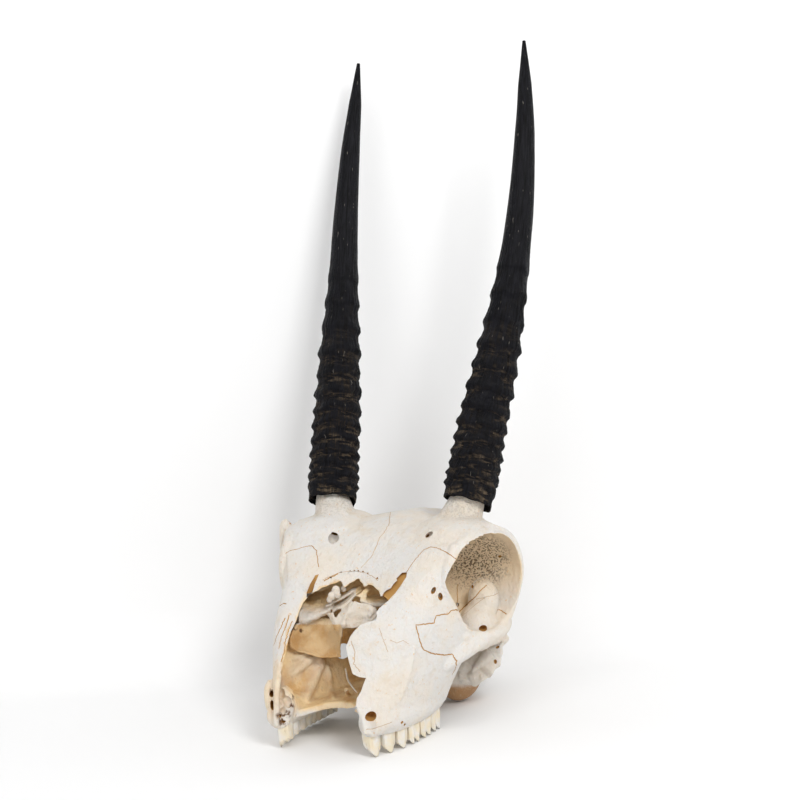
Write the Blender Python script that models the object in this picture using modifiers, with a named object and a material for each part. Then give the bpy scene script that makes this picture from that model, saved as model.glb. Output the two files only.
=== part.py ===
"""Oribi skull with its horns, without the lower jaw, nasal bones and premaxillae.

The skull stands on its cheek teeth and on the two ear capsules. +Z is up from the
chewing plane, the animal looks along -Y and its left side is +X. The numbers below are
millimetres in the skull's own frame, whose Y = 0 lies just behind the occiput.
FRAME_SHIFT then moves everything, so that the origin is under the middle of the skull.
"""
import math

import bmesh
import bpy
from mathutils import Matrix, Vector

MM = 0.001
FRAME_SHIFT = Vector((0.0, 64.1, 0.0))

# Driving dimensions
HORN_PATH = ((26.3, -59.6, 72.0), (28.6, -50.3, 96.0), (31.3, -40.6, 120.0), (33.5, -31.8, 144.0),
             (34.9, -24.6, 168.0), (34.9, -18.3, 192.0), (34.1, -14.2, 209.0), (33.3, -11.2, 224.0))
HORN_RADII = (8.0, 7.5, 6.5, 5.2, 4.4, 3.4, 2.3, 0.55)
RING_HEIGHTS = (74.0, 78.0, 82.0, 86.0, 90.0, 94.5, 99.5, 105.0, 111.0, 118.0, 126.0, 134.5, 143.5)
RING_DEPTH = 0.75
RIM_FLARE = 0.2
SMOOTH_HEIGHTS = (150.0, 157.0, 168.0, 180.0, 192.0, 204.0, 214.0, 221.0, 224.0)
BORE_BOTTOM = 66.0
BORE_TOP = 158.0
BORE_RADII = (6.9, 5.9, 4.9, 3.9, 2.7)
CORE_BOTTOM = 68.0
CORE_TOP = 150.0
CORE_RADII = (5.7, 4.9, 3.9, 2.9, 1.9)

ORBIT_CENTRE = (34.5, -68.5, 47.5)
ORBIT_TURN = math.radians(-20)
ORBIT_RIM = ((36.0, -64.9, 65.6), (32.3, -79.0, 61.0), (30.0, -85.2, 50.0), (30.6, -80.5, 38.5),
             (32.6, -71.5, 30.2), (35.6, -63.0, 29.0), (38.2, -56.5, 36.5), (40.2, -52.8, 48.5),
             (39.4, -56.4, 60.5))
ORBIT_RIM_RADIUS = 2.1

TOOTH_ROW = ((16.4, -115.6), (18.0, -106.0), (18.9, -96.5), (18.9, -87.0), (18.2, -77.2))
TOOTH_LENGTHS = (("premolar_2", 5.4, 1), ("premolar_3", 5.7, 1), ("premolar_4", 5.7, 1),
                 ("molar_1", 7.0, 2), ("molar_2", 7.6, 2), ("molar_3", 7.2, 2))
TOOTH_WIDTH = 6.6
TOOTH_GAP = 0.4
CUSP_HEIGHT = 1.9
CROWN_VALLEY = 1.3
INNER_CUSP_WEAR = 0.5
CROWN_END_WIDTH = 0.86
CROWN_GROOVE_WIDTH = 0.84
ROOT_TOP = 8.6
ROOT_TAPER_ALONG = 0.9
ROOT_TAPER_ACROSS = 0.82
SOCKET_CLEARANCE = 0.4
TROUGH_BOTTOM = 2.0
TROUGH_STATIONS = 9

VOXEL = 0.9
CRANIUM_FACES = 6300

BONE = (0.86, 0.80, 0.70)
KERATIN = (0.025, 0.024, 0.027)
ENAMEL = (0.80, 0.74, 0.62)


def clear_scene():
    for old in list(bpy.data.objects):
        bpy.data.objects.remove(old, do_unlink=True)


def collection(name):
    made = bpy.data.collections.new(name)
    bpy.context.scene.collection.children.link(made)
    return made


def material(name, colour, roughness):
    made = bpy.data.materials.new(name)
    made.use_nodes = True
    shader = made.node_tree.nodes["Principled BSDF"]
    shader.inputs["Base Color"].default_value = (*colour, 1.0)
    shader.inputs["Roughness"].default_value = roughness
    shader.inputs["Metallic"].default_value = 0.0
    return made


def place(point, side=1):
    """A point of the left half in millimetres, on the side asked for, in metres."""
    return (Vector((point[0] * side, point[1], point[2])) + FRAME_SHIFT) * MM


def blend(values, share):
    """The value at a share of the way along a list, on a Catmull-Rom curve."""
    at = share * (len(values) - 1)
    first = min(int(at), len(values) - 2)
    t = at - first
    b, c = values[first], values[first + 1]
    a = values[first - 1] if first > 0 else b + (b - c)
    d = values[first + 2] if first + 2 < len(values) else c + (c - b)
    return (b * 2 + (c - a) * t + (a * 2 - b * 5 + c * 4 - d) * t ** 2
            + (b * 3 - a - c * 3 + d) * t ** 3) * 0.5


def mesh_object(name, mesh, group):
    made = bpy.data.objects.new(name, mesh)
    group.objects.link(made)
    return made


def baked(made, group):
    """A plain mesh copy of an object with modifiers or of a curve, which it replaces."""
    evaluated = made.evaluated_get(bpy.context.evaluated_depsgraph_get())
    mesh = bpy.data.meshes.new_from_object(evaluated)
    name = made.name
    bpy.data.objects.remove(made, do_unlink=True)
    shape = bmesh.new()
    shape.from_mesh(mesh)
    bmesh.ops.remove_doubles(shape, verts=shape.verts, dist=0.00001)
    bmesh.ops.recalc_face_normals(shape, faces=shape.faces)
    shape.to_mesh(mesh)
    shape.free()
    return mesh_object(name, mesh, group)


def blob(group, centre, radii, side=1, turn=0.0, tilt=0.0):
    """An egg-shaped form. turn is about Z and tilt about X, for the left side."""
    shape = bmesh.new()
    spin = Matrix.Rotation(turn * side, 4, "Z") @ Matrix.Rotation(tilt, 4, "X")
    scale = Matrix.Diagonal((*(Vector(radii) * MM), 1.0))
    bmesh.ops.create_uvsphere(shape, u_segments=28, v_segments=16, radius=1.0,
                              matrix=Matrix.Translation(place(centre, side)) @ spin @ scale)
    mesh = bpy.data.meshes.new("blob")
    shape.to_mesh(mesh)
    shape.free()
    return mesh_object("blob", mesh, group)


def bar(group, points, radii, side=1, sides=12, steps=4, closed=False):
    """A round rod of changing thickness through the points."""
    curve = bpy.data.curves.new("bar", "CURVE")
    curve.dimensions = "3D"
    curve.bevel_depth = MM
    curve.bevel_resolution = sides // 2 - 2
    curve.use_fill_caps = True
    spine = [Vector(p) for p in points]
    if closed:
        spine.append(spine[0])
        radii = (*radii, radii[0])
    count = (len(spine) - 1) * steps + (0 if closed else 1)
    spline = curve.splines.new("POLY")
    spline.points.add(count - 1)
    spline.use_cyclic_u = closed
    for i, knot in enumerate(spline.points):
        share = i / ((len(spine) - 1) * steps)
        knot.co = (*place(blend(spine, share), side), 1.0)
        knot.radius = blend([float(r) for r in radii], share)
    made = bpy.data.objects.new("bar", curve)
    group.objects.link(made)
    return baked(made, group)


def sheet(group, rows, thickness, side=1, levels=2):
    """A curved plate of bone over a grid of points."""
    shape = bmesh.new()
    grid = [[shape.verts.new(place(p, side)) for p in row] for row in rows]
    for upper, lower in zip(grid, grid[1:]):
        for i in range(len(upper) - 1):
            shape.faces.new((upper[i], upper[i + 1], lower[i + 1], lower[i]))
    mesh = bpy.data.meshes.new("sheet")
    shape.to_mesh(mesh)
    shape.free()
    made = mesh_object("sheet", mesh, group)
    soften = made.modifiers.new("soften", "SUBSURF")
    soften.levels = soften.render_levels = levels
    soften.boundary_smooth = "PRESERVE_CORNERS"
    wall = made.modifiers.new("wall", "SOLIDIFY")
    wall.thickness = thickness * MM
    wall.offset = 0.0
    return baked(made, group)


def joined(name, forms, group):
    """One object made of all the forms' meshes."""
    shape = bmesh.new()
    for form in forms:
        shape.from_mesh(form.data)
        bpy.data.objects.remove(form, do_unlink=True)
    mesh = bpy.data.meshes.new(name)
    shape.to_mesh(mesh)
    shape.free()
    return mesh_object(name, mesh, group)


def braincase(group):
    """The round case of the brain, the skull base under it and the occiput behind it."""
    forms = [
        blob(group, (0, -41, 43.5), (23.5, 28, 22)),
        blob(group, (0, -56, 52.5), (26, 16, 12.3)),
        blob(group, (0, -26, 34), (18, 12.5, 17)),
        bar(group, ((0, -84, 30), (0, -66, 28), (0, -48, 23), (0, -30, 19), (0, -19, 18)),
            (4, 6, 6, 6.5, 7.5)),
        bar(group, ((-18.5, -28, 27), (-16, -21, 41), (0, -16.5, 50.5), (16, -21, 41), (18.5, -28, 27)),
            (3.2, 2.6, 2.6, 2.6, 3.2)),
    ]
    for side in (1, -1):
        forms += [
            blob(group, (7.6, -15.5, 21.5), (4.2, 4.8, 7), side),
            bar(group, ((15, -25, 27), (13.5, -22.5, 18), (11.5, -21, 10.5)), (4.2, 2.8, 1.5), side),
            bar(group, ((6.5, -70, 28), (6.8, -61, 21), (7.4, -57, 12.5)), (2.2, 2.0, 1.4), side),
            bar(group, ((6.5, -58, 26), (7, -57, 18), (7.4, -57, 12.5)), (2.6, 2.0, 1.4), side),
            blob(group, (16.5, -31, 25), (5.5, 7.5, 9), side),
        ]
    return forms


def ear_capsules(group):
    """The two hollow-looking capsules under the skull base, with their bony tube outside."""
    forms = []
    for side in (1, -1):
        forms += [
            blob(group, (12.8, -40.0, 11.7), (8.8, 12.0, 11.3), side, tilt=math.radians(8)),
            blob(group, (16.0, -35.0, 18.5), (6.5, 9, 8.5), side),
            bar(group, ((17, -35.5, 19), (20.2, -32.5, 20), (22, -31, 21.5)), (4.6, 3.8, 3.0), side),
            bar(group, ((15.5, -45, 19), (18.5, -48, 15), (19.5, -49.5, 11.5)), (3.4, 2.2, 1.1), side),
        ]
    return forms


def forehead(group):
    """The frontal shield between the orbits, steep towards the nose."""
    half = (
        ((0, -43, 65), (10, -43, 64), (20, -44, 60), (27, -46, 54), (30, -48, 46)),
        ((0, -55, 65.9), (9, -55, 65), (18, -55, 63), (29, -54, 62), (38.5, -53.5, 54)),
        ((0, -64, 65.4), (9, -64, 64.6), (18, -63.5, 64.0), (31, -62.5, 66.4), (40, -61, 62)),
        ((0, -72.5, 62), (10, -72.5, 62), (20, -73, 62.2), (31, -72.5, 65), (40.5, -69.5, 63.3)),
        ((0, -80, 57), (9, -80, 57), (18, -80, 58.3), (27, -80, 60.6), (34, -77.5, 62)),
        ((0, -86, 51.5), (7, -87, 51.5), (13, -88, 52.4), (19, -88, 54), (28, -86.5, 54)),
        ((0, -89, 47.5), (5, -91, 47.5), (10, -92, 48.5), (15, -92.5, 48.5), (24, -92, 49)),
    )
    forms = [sheet(group, half, 3.6, side) for side in (1, -1)]
    for side in (1, -1):
        forms.append(blob(group, (21, -60, 60), (12, 12, 8), side))
    return forms


def orbits(group):
    """A bowl for each eye with a raised rim, and the bar of bone behind and under it."""
    forms = []
    for side in (1, -1):
        forms += [
            blob(group, (23.5, -65.0, 48.0), (25, 19.9, 20.0), side, turn=ORBIT_TURN),
            bar(group, ORBIT_RIM, (ORBIT_RIM_RADIUS,) * len(ORBIT_RIM), side, closed=True),
            bar(group, ((26.0, -84, 22), (29.5, -78, 25), (33, -71.5, 28), (35.8, -62, 29.5),
                        (34.2, -55, 30.5), (30.0, -48.5, 30.5), (24.5, -40, 30)),
                (2.4, 3.0, 3.2, 2.8, 2.8, 2.9, 4.2), side),
            blob(group, (23, -42, 30), (6, 6, 4.5), side),
        ]
    return forms


def orbit_floor(group):
    """The swollen bone that fills the low rear corner of each orbit."""
    forms = []
    for side in (1, -1):
        forms += [
            blob(group, (29, -63.5, 30.5), (6.5, 8, 8), side),
            blob(group, (29.5, -60, 36), (4.2, 4.5, 6), side),
        ]
    return forms


def face(group):
    """The two side walls of the nose, each broken in its own way, and the cheek bones."""
    upper = (
        ((34, -76, 61), (31, -79, 60.5), (28, -80.5, 60), (25.5, -81, 59.5), (23.5, -81, 59), (22, -81, 58.5)),
        ((31, -84.5, 52), (29, -87, 52.5), (26.5, -88.5, 52.5), (23.5, -89.5, 52.5), (20, -89.5, 52),
         (17, -88.5, 51.5)),
    )
    lower = (
        ((24.5, -75, 16.5), (25, -84, 16), (24.5, -93, 15), (22.5, -103, 14.5), (20, -111, 14),
         (15.5, -117.5, 15)),
        ((22, -76.5, 9.5), (22, -84, 8), (21.5, -93, 6.5), (21, -102, 6), (19, -111, 6.5), (16, -117.5, 8)),
    )
    left = (
        ((30.5, -83.5, 43), (28.5, -89, 44), (26, -93, 44.5), (23, -96, 44.8), (19, -97, 45), (14.5, -95.5, 45)),
        ((31, -79, 34.5), (29, -88, 35), (26.5, -96, 36), (23, -102.5, 37), (16, -107, 38.5), (6, -110, 40)),
        ((30.5, -73, 26.5), (28, -83, 25.5), (26, -93, 25.5), (24, -102, 26), (19, -110, 25), (8.5, -114, 24)),
    )
    right = (
        ((30.5, -83.5, 43), (28.5, -89, 44), (26.5, -93, 44.5), (24, -96, 44.8), (20, -97, 45), (16, -95, 45)),
        ((31, -79, 34.5), (29, -88, 35), (27, -96, 36), (24.5, -102.5, 37), (21.5, -106, 37),
         (18.5, -104.5, 36)),
        ((30.5, -73, 26.5), (28, -83, 25.5), (26.5, -93, 25.5), (25, -102, 26), (22.5, -109, 26),
         (20.2, -114.5, 25.5)),
    )
    forms = [sheet(group, upper + left + lower, 2.6, 1),
             sheet(group, upper + right + lower, 2.6, -1)]
    for side in (1, -1):
        forms.append(bar(group, [(x, y, 10.6) for x, y in TOOTH_ROW], (4.0, 4.8, 5.4, 5.4, 4.6), side))
        duct = (
            ((22, -99, 32), (15, -84, 32), (11, -72, 31), (9, -60, 28)),
            ((21, -100, 22), (14, -84, 22), (10, -72, 21), (8, -61, 20)),
            ((18, -99, 11), (14, -84, 12), (10, -72, 13), (8, -66, 13.5)),
        )
        forms.append(sheet(group, duct, 2.6, side))
    return forms


def palate(group):
    """The floor of the nose, which is the roof of the mouth."""
    forms = []
    for side in (1, -1):
        rows = (
            ((0, -103, 12.4), (6, -104.5, 12.2), (11, -108, 10.5), (16, -112, 9.5)),
            ((0, -94, 12.6), (6, -94, 12.4), (12, -95, 11.6), (18, -96, 10)),
            ((0, -82, 13.2), (6, -82, 13), (12, -82, 12), (18, -82, 10.5)),
            ((0, -71, 14), (6, -71, 13.8), (12, -71, 12.5), (17, -72, 11.5)),
        )
        forms.append(sheet(group, rows, 2.6, side))
    return forms


def nose_bones(group):
    """What is left inside the nose: the middle plate and the broken scrolls beside it."""
    septum = (
        ((0, -68, 54), (0, -68, 42), (0, -68, 30)),
        ((0, -80, 53), (0, -81, 42), (0, -80, 33)),
        ((0, -89, 49), (0, -94, 43), (0, -99, 37.5)),
    )
    far_scroll = (
        ((21, -84, 40), (15, -78, 43), (10, -72, 45)),
        ((23, -92, 38.5), (15, -88, 40.5), (10, -85, 42.5)),
        ((22, -99, 37.5), (14, -95, 38.5), (9, -91, 40)),
    )
    far_inner_wall = (
        ((20, -72, 37), (20, -84, 37), (23, -97, 36)),
        ((14.5, -74, 31), (15, -86, 31), (18, -96, 30)),
        ((12, -75, 25), (12.5, -85, 25), (15.5, -93, 25)),
    )
    near_scroll = (
        ((0, -78, 47), (5, -80, 45), (12, -84, 43)),
        ((0, -89, 46), (5, -89, 43), (14, -92, 41.5)),
        ((1, -98, 44), (6, -97, 41), (15, -99, 39.5)),
    )
    return [sheet(group, septum, 2.2), sheet(group, far_scroll, 2.0, -1),
            sheet(group, far_inner_wall, 2.0, -1), sheet(group, near_scroll, 2.0, 1)]


def horn_bases(group):
    """The bony stalk of each horn and the core that runs up inside its sheath."""
    forms = []
    for side in (1, -1):
        stalk = ((21, -64, 56), (24, -62, 65), HORN_PATH[0])
        forms.append(bar(group, stalk, (11.5, 7.5, CORE_RADII[0]), side))
        core = horn_stretch(CORE_BOTTOM, CORE_TOP, len(CORE_RADII))
        forms.append(bar(group, core, CORE_RADII, side))
    return forms


def horn_at(height):
    """The middle and the radius of the horn at a height."""
    spine = [Vector(p) for p in HORN_PATH]
    low, high = 0.0, 1.0
    for _ in range(24):
        share = (low + high) / 2
        if blend(spine, share).z < height:
            low = share
        else:
            high = share
    return blend(spine, share), blend([float(r) for r in HORN_RADII], share)


def horn_stretch(bottom, top, count):
    """Evenly spaced points along the horn between two heights, which may start below its rim."""
    lowest = Vector(HORN_PATH[0])
    slope = (Vector(HORN_PATH[1]) - lowest) / (HORN_PATH[1][2] - lowest.z)
    points = []
    for i in range(count):
        height = bottom + (top - bottom) * i / (count - 1)
        points.append(horn_at(height)[0] if height > lowest.z else lowest + slope * (height - lowest.z))
    return points


def horn_sheath(group, cutters, side):
    """The black ringed sheath: a ringed tube, bored out where it sat on the core."""
    outline = [(HORN_PATH[0][2], RIM_FLARE)]
    for ring, following in zip(RING_HEIGHTS, RING_HEIGHTS[1:] + SMOOTH_HEIGHTS[:1]):
        outline += [(ring, RING_DEPTH), ((ring + following) / 2, 0.0)]
    outline += [(height, 0.0) for height in SMOOTH_HEIGHTS[1:]]
    points = []
    radii = []
    for height, swell in outline:
        middle, radius = horn_at(height)
        points.append(middle)
        radii.append(radius + swell)
    sheath = bar(group, points, radii, side, steps=1)
    bore = horn_stretch(BORE_BOTTOM, BORE_TOP, len(BORE_RADII))
    cut(sheath, bar(cutters, bore, BORE_RADII, side, steps=1))
    return sheath


def cut(made, cutter):
    bore = made.modifiers.new("cut", "BOOLEAN")
    bore.operation = "DIFFERENCE"
    bore.object = cutter
    bore.solver = "EXACT"
    cutter.hide_render = True
    cutter.display_type = "WIRE"


def hollows(group):
    """Everything that is air inside the bone: orbits, nose, braincase and small holes."""
    forms = [
        blob(group, (0, -84, 35), (13.5, 13, 16)),
        blob(group, (0, -41, 44), (20.0, 24, 18.5)),
        bar(group, ((0, -30, 30), (0, -18, 28), (0, -6, 27)), (7, 6.2, 6.4)),
        bar(group, ((0, -84, 22), (0, -66, 19), (0, -50, 11)), (6.5, 5.5, 5.5)),
    ]
    for side in (1, -1):
        forms += [
            blob(group, ORBIT_CENTRE, (20, 17.4, 17.3), side, turn=ORBIT_TURN),
            bar(group, ((21.5, -57, 31), (24.5, -49.5, 30.5), (25, -44, 22)), (4.0, 5.0, 5), side),
            bar(group, ((18.2, -72, 55), (18.2, -75.5, 59.5), (18.2, -79.5, 65)), (1.8, 2.2, 2.8), side),
            bar(group, ((19, -121, 15.5), (17.5, -114, 13.6), (17.2, -108, 13.2)), (2.5, 2.1, 1.5), side),
            bar(group, ((12, -82, 24), (17, -74, 23), (24, -62, 21)), (2.6, 2.6, 3.0), side),
        ]
    return forms


def tooth_stations():
    """For each tooth: its name, middle, direction along the row, length and lobes."""
    row = [Vector((x, y, 0.0)) for x, y in TOOTH_ROW]
    whole = sum(length for _, length, _ in TOOTH_LENGTHS)
    passed = 0.0
    stations = []
    for name, length, lobes in TOOTH_LENGTHS:
        front = blend(row, passed / whole)
        rear = blend(row, (passed + length) / whole)
        stations.append((name, (front + rear) / 2, (rear - front).normalized(), (rear - front).length, lobes))
        passed += length
    return stations


def tooth_block(group, station, side):
    """A tooth: a root in the bone and a crown with grooves and worn points."""
    name, middle, along, length, lobes = station
    cells = 2 * lobes
    shape = bmesh.new()
    across = Vector((-along.y, along.x, 0.0))
    span = (length - TOOTH_GAP) / 2
    half = TOOTH_WIDTH / 2

    def corner(i, j, top):
        share = i / cells * 2 - 1
        wide = j - 1
        if top:
            spot = middle + along * span * share * ROOT_TAPER_ALONG + across * half * wide * ROOT_TAPER_ACROSS
            return shape.verts.new(place((spot.x, spot.y, ROOT_TOP), side))
        narrow = 1.0
        if i in (0, cells):
            narrow = CROWN_END_WIDTH
        elif i % 2 == 0:
            narrow = CROWN_GROOVE_WIDTH
        height = 0.0
        if i % 2 == 0:
            height += CUSP_HEIGHT
        if wide == 0:
            height += CROWN_VALLEY
        if wide < 0:
            height += INNER_CUSP_WEAR
        spot = middle + along * span * share + across * half * wide * narrow
        return shape.verts.new(place((spot.x, spot.y, height), side))

    low = [[corner(i, j, False) for j in range(3)] for i in range(cells + 1)]
    high = [[corner(i, j, True) for j in range(3)] for i in range(cells + 1)]
    for grid in (low, high):
        for a, b in zip(grid, grid[1:]):
            for j in range(2):
                shape.faces.new((a[j], a[j + 1], b[j + 1], b[j]))
    for j in (0, 2):
        for i in range(cells):
            shape.faces.new((low[i][j], low[i + 1][j], high[i + 1][j], high[i][j]))
    for i in (0, cells):
        for j in range(2):
            shape.faces.new((low[i][j], low[i][j + 1], high[i][j + 1], high[i][j]))
    bmesh.ops.recalc_face_normals(shape, faces=shape.faces)
    mesh = bpy.data.meshes.new(name)
    shape.to_mesh(mesh)
    shape.free()
    return mesh_object(name, mesh, group)


def trough(group, side):
    """The space in the bone that the roots of one tooth row stand in."""
    row = [Vector((x, y, 0.0)) for x, y in TOOTH_ROW]
    half = TOOTH_WIDTH / 2 * ROOT_TAPER_ACROSS + SOCKET_CLEARANCE
    top = ROOT_TOP + SOCKET_CLEARANCE
    section = ((-1, TROUGH_BOTTOM), (1, TROUGH_BOTTOM), (1, top), (-1, top))
    shape = bmesh.new()
    rings = []
    for i in range(TROUGH_STATIONS):
        share = i / (TROUGH_STATIONS - 1)
        middle = blend(row, share)
        along = (blend(row, min(share + 0.05, 1)) - blend(row, max(share - 0.05, 0))).normalized()
        across = Vector((-along.y, along.x, 0.0)) * half
        if share == 0.0:
            middle -= along * SOCKET_CLEARANCE
        if share == 1.0:
            middle += along * SOCKET_CLEARANCE
        rings.append([shape.verts.new(place((*(middle + across * way).xy, height), side))
                      for way, height in section])
    for first, second in zip(rings, rings[1:]):
        for k in range(4):
            shape.faces.new((first[k], first[k - 1], second[k - 1], second[k]))
    shape.faces.new(rings[0])
    shape.faces.new(rings[-1])
    bmesh.ops.recalc_face_normals(shape, faces=shape.faces)
    mesh = bpy.data.meshes.new("trough")
    shape.to_mesh(mesh)
    shape.free()
    return mesh_object("trough", mesh, group)


def cranium(group, cutters):
    """The grown-together bone: all its forms fused, hollowed and thinned to plain faces."""
    forms = []
    for maker in (braincase, ear_capsules, forehead, orbits, face, palate, horn_bases):
        forms += maker(group)
    bone = joined("cranium", forms, group)
    air = joined("hollows", hollows(cutters), cutters)
    troughs = joined("troughs", [trough(cutters, side) for side in (1, -1)], cutters)
    fuse(bone, VOXEL)
    fuse(air, VOXEL)
    cut(bone, air)
    bone = baked(bone, group)
    bone = joined("cranium", [bone] + orbit_floor(group) + nose_bones(group), group)
    fuse(bone, VOXEL)
    ease = bone.modifiers.new("ease", "SMOOTH")
    ease.factor = 0.5
    ease.iterations = 3
    bone = baked(bone, group)
    thin = bone.modifiers.new("thin", "DECIMATE")
    thin.ratio = CRANIUM_FACES / (2 * len(bone.data.polygons))
    cut(bone, troughs)
    return bone


def fuse(made, voxel):
    skin = made.modifiers.new("fuse", "REMESH")
    skin.mode = "VOXEL"
    skin.voxel_size = voxel * MM


def main():
    clear_scene()
    skull = collection("oribi_skull")
    cutters = collection("cutters")
    bone = material("bone", BONE, 0.6)
    keratin = material("keratin", KERATIN, 0.4)
    enamel = material("enamel", ENAMEL, 0.45)
    cranium(skull, cutters).data.materials.append(bone)
    for side, word in ((1, "left"), (-1, "right")):
        sheath = horn_sheath(skull, cutters, side)
        sheath.name = "horn_sheath_" + word
        sheath.data.materials.append(keratin)
        for station in tooth_stations():
            tooth = tooth_block(skull, station, side)
            tooth.name = word + "_" + station[0]
            tooth.data.materials.append(enamel)


main()
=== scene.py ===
import math

import bmesh
import bpy
import numpy as np
from mathutils import Euler, Matrix, Vector, noise
from mathutils.bvhtree import BVHTree


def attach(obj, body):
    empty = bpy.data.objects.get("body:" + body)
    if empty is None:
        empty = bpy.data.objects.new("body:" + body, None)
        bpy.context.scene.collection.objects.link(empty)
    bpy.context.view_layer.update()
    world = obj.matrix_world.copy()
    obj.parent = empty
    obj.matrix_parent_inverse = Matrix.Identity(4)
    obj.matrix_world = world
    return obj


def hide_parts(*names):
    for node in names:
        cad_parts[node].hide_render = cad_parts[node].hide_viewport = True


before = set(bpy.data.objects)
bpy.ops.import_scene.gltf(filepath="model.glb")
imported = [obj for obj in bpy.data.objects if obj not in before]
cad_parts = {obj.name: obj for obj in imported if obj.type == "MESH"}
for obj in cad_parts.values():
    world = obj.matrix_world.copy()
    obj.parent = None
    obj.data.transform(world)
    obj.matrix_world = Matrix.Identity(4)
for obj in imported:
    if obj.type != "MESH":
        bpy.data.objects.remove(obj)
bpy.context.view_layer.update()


# The camera stands at the animal's front left, a little above the eye sockets.
# Its lens is a short telephoto, and it leans a little to one side.
PHOTO_SIDE = 800
SENSOR_WIDTH = 36.0
FOCAL_LENGTH = 76.5
PIXELS = FOCAL_LENGTH / SENSOR_WIDTH * PHOTO_SIDE
EYE = Vector((0.285577, -0.484868, 0.146845))
EYE_TURN = [math.radians(angle) for angle in (85.763, 3.686, 29.737)]
CAMERA_TURN = Euler(EYE_TURN).to_matrix()

lens = bpy.data.cameras.new("camera")
lens.lens = FOCAL_LENGTH
lens.sensor_width = SENSOR_WIDTH
lens.clip_start = 0.01
camera = bpy.data.objects.new("camera", lens)
camera.location = EYE
camera.rotation_euler = EYE_TURN
bpy.context.scene.collection.objects.link(camera)
bpy.context.scene.camera = camera
bpy.context.scene.view_settings.view_transform = "Standard"


# A white floor, and on it a paper sweep that curves up into a wall close behind the horns.
# The sweep is square to the camera, so that no edge or corner of it shows, and it has a front side only,
# so that the skull can also be looked at from behind.
WALL_DISTANCE = 0.074
SWEEP_RADIUS = 0.026
SWEEP_STEPS = 12
PAPER_REACH = 3.0
PAPER_WHITE = (0.93, 0.93, 0.93, 1.0)
PAPER_ROUGHNESS = 0.9
FLOOR_BELOW_PAPER = 0.0002


def grid(across, along):
    """A flat grid with so many points across and along, to be shaped."""
    bpy.ops.object.select_all(action="DESELECT")
    bpy.ops.mesh.primitive_grid_add(x_subdivisions=across - 1, y_subdivisions=along - 1, size=1.0)
    return bpy.context.object


class Wire:
    """An output socket of a material. Sums of wires and numbers add the Math nodes for them."""

    def __init__(self, finish, socket):
        self.finish = finish
        self.socket = socket

    def math(self, operation, first, second):
        return self.finish.node("Math", {"operation": operation}, _0=first, _1=second)

    def __add__(self, other):
        return self.math("ADD", self, other)

    def __sub__(self, other):
        return self.math("SUBTRACT", self, other)

    def __rsub__(self, other):
        return self.math("SUBTRACT", other, self)

    def __mul__(self, other):
        return self.math("MULTIPLY", self, other)

    __radd__ = __add__
    __rmul__ = __mul__


class Finish:
    """A material in the making."""

    def __init__(self, material):
        self.material = material
        self.material.use_nodes = True
        self.tree = self.material.node_tree
        self.shader = self.tree.nodes["Principled BSDF"]

    def feed(self, socket, value):
        if isinstance(value, Wire):
            self.tree.links.new(value.socket, socket)
        else:
            socket.default_value = value

    def node(self, kind, settings, output=0, **sockets):
        """A node with its settings, and its sockets by name, or by number after an underscore."""
        made = self.tree.nodes.new("ShaderNode" + kind)
        for name, value in settings.items():
            setattr(made, name, value)
        for name, value in sockets.items():
            key = int(name[1:]) if name[0] == "_" else name.replace("_", " ")
            self.feed(made.inputs[key], value)
        return Wire(self, made.outputs[output])

    def place(self):
        return self.node("TexCoord", {}, "Object")

    def own(self, attribute, output="Fac"):
        return self.node("Attribute", {"attribute_name": attribute}, output)

    def stretched(self, vector, scale):
        return self.node("Mapping", {}, _0=vector, Scale=scale)

    def cloud(self, vector, scale, detail=4.0, roughness=0.55):
        return self.node("TexNoise", {}, Vector=vector, Scale=scale, Detail=detail, Roughness=roughness)

    def step(self, value, low, high):
        """0 below low and 1 above high, with a soft passage between them."""
        return self.node("MapRange", {"interpolation_type": "SMOOTHSTEP"},
                         Value=value, From_Min=low, From_Max=high)

    def patches(self, low, high, *cloud):
        """Soft-edged patches of a cloud, which cover more of the surface the lower the two limits are."""
        return self.step(self.cloud(*cloud), low, high)

    def mixed(self, first, second, share):
        """A colour between two colours."""
        return self.node("Mix", {"data_type": "RGBA"}, 2, _0=share, _6=first, _7=second)

    def surface(self, **sockets):
        for name, value in sockets.items():
            self.feed(self.shader.inputs[name.replace("_", " ")], value)

    def relief(self, *layers):
        """Bump from heights, each with its depth in metres, laid one on the other."""
        normal = None
        for height, depth in layers:
            bump = {"Height": height, "Distance": depth}
            if normal:
                bump["Normal"] = normal
            normal = self.node("Bump", {}, **bump)
        self.feed(self.shader.inputs["Normal"], normal)


bpy.ops.object.select_all(action="DESELECT")
bpy.ops.mesh.primitive_plane_add(size=2 * PAPER_REACH)
ground = bpy.context.object
ground.name = "floor"
for corner in ground.data.vertices:
    corner.co.z = -FLOOR_BELOW_PAPER
plaster = Finish(bpy.data.materials.new("white_floor"))
plaster.surface(Base_Color=PAPER_WHITE, Roughness=PAPER_ROUGHNESS)
ground.data.materials.append(plaster.material)

heading = Matrix.Rotation(EYE_TURN[2], 4, "Z")
profile = [(-PAPER_REACH, 0.0)]
for step in range(SWEEP_STEPS + 1):
    angle = math.pi / 2 * step / SWEEP_STEPS
    profile.append((WALL_DISTANCE - SWEEP_RADIUS + SWEEP_RADIUS * math.sin(angle),
                    SWEEP_RADIUS - SWEEP_RADIUS * math.cos(angle)))
profile.append((WALL_DISTANCE, PAPER_REACH))
paper = grid(2, len(profile))
paper.name = "paper_sweep"
for i, corner in enumerate(paper.data.vertices):
    away, high = profile[i // 2]
    across = PAPER_REACH if i % 2 else -PAPER_REACH
    corner.co = heading @ Vector((across, away, high))
paper.data.shade_smooth()
white = Finish(bpy.data.materials.new("white_paper"))
front_only = 1.0 - white.node("NewGeometry", {}, "Backfacing")
white.surface(Base_Color=PAPER_WHITE, Roughness=PAPER_ROUGHNESS, Alpha=front_only)
paper.data.materials.append(white.material)


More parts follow.
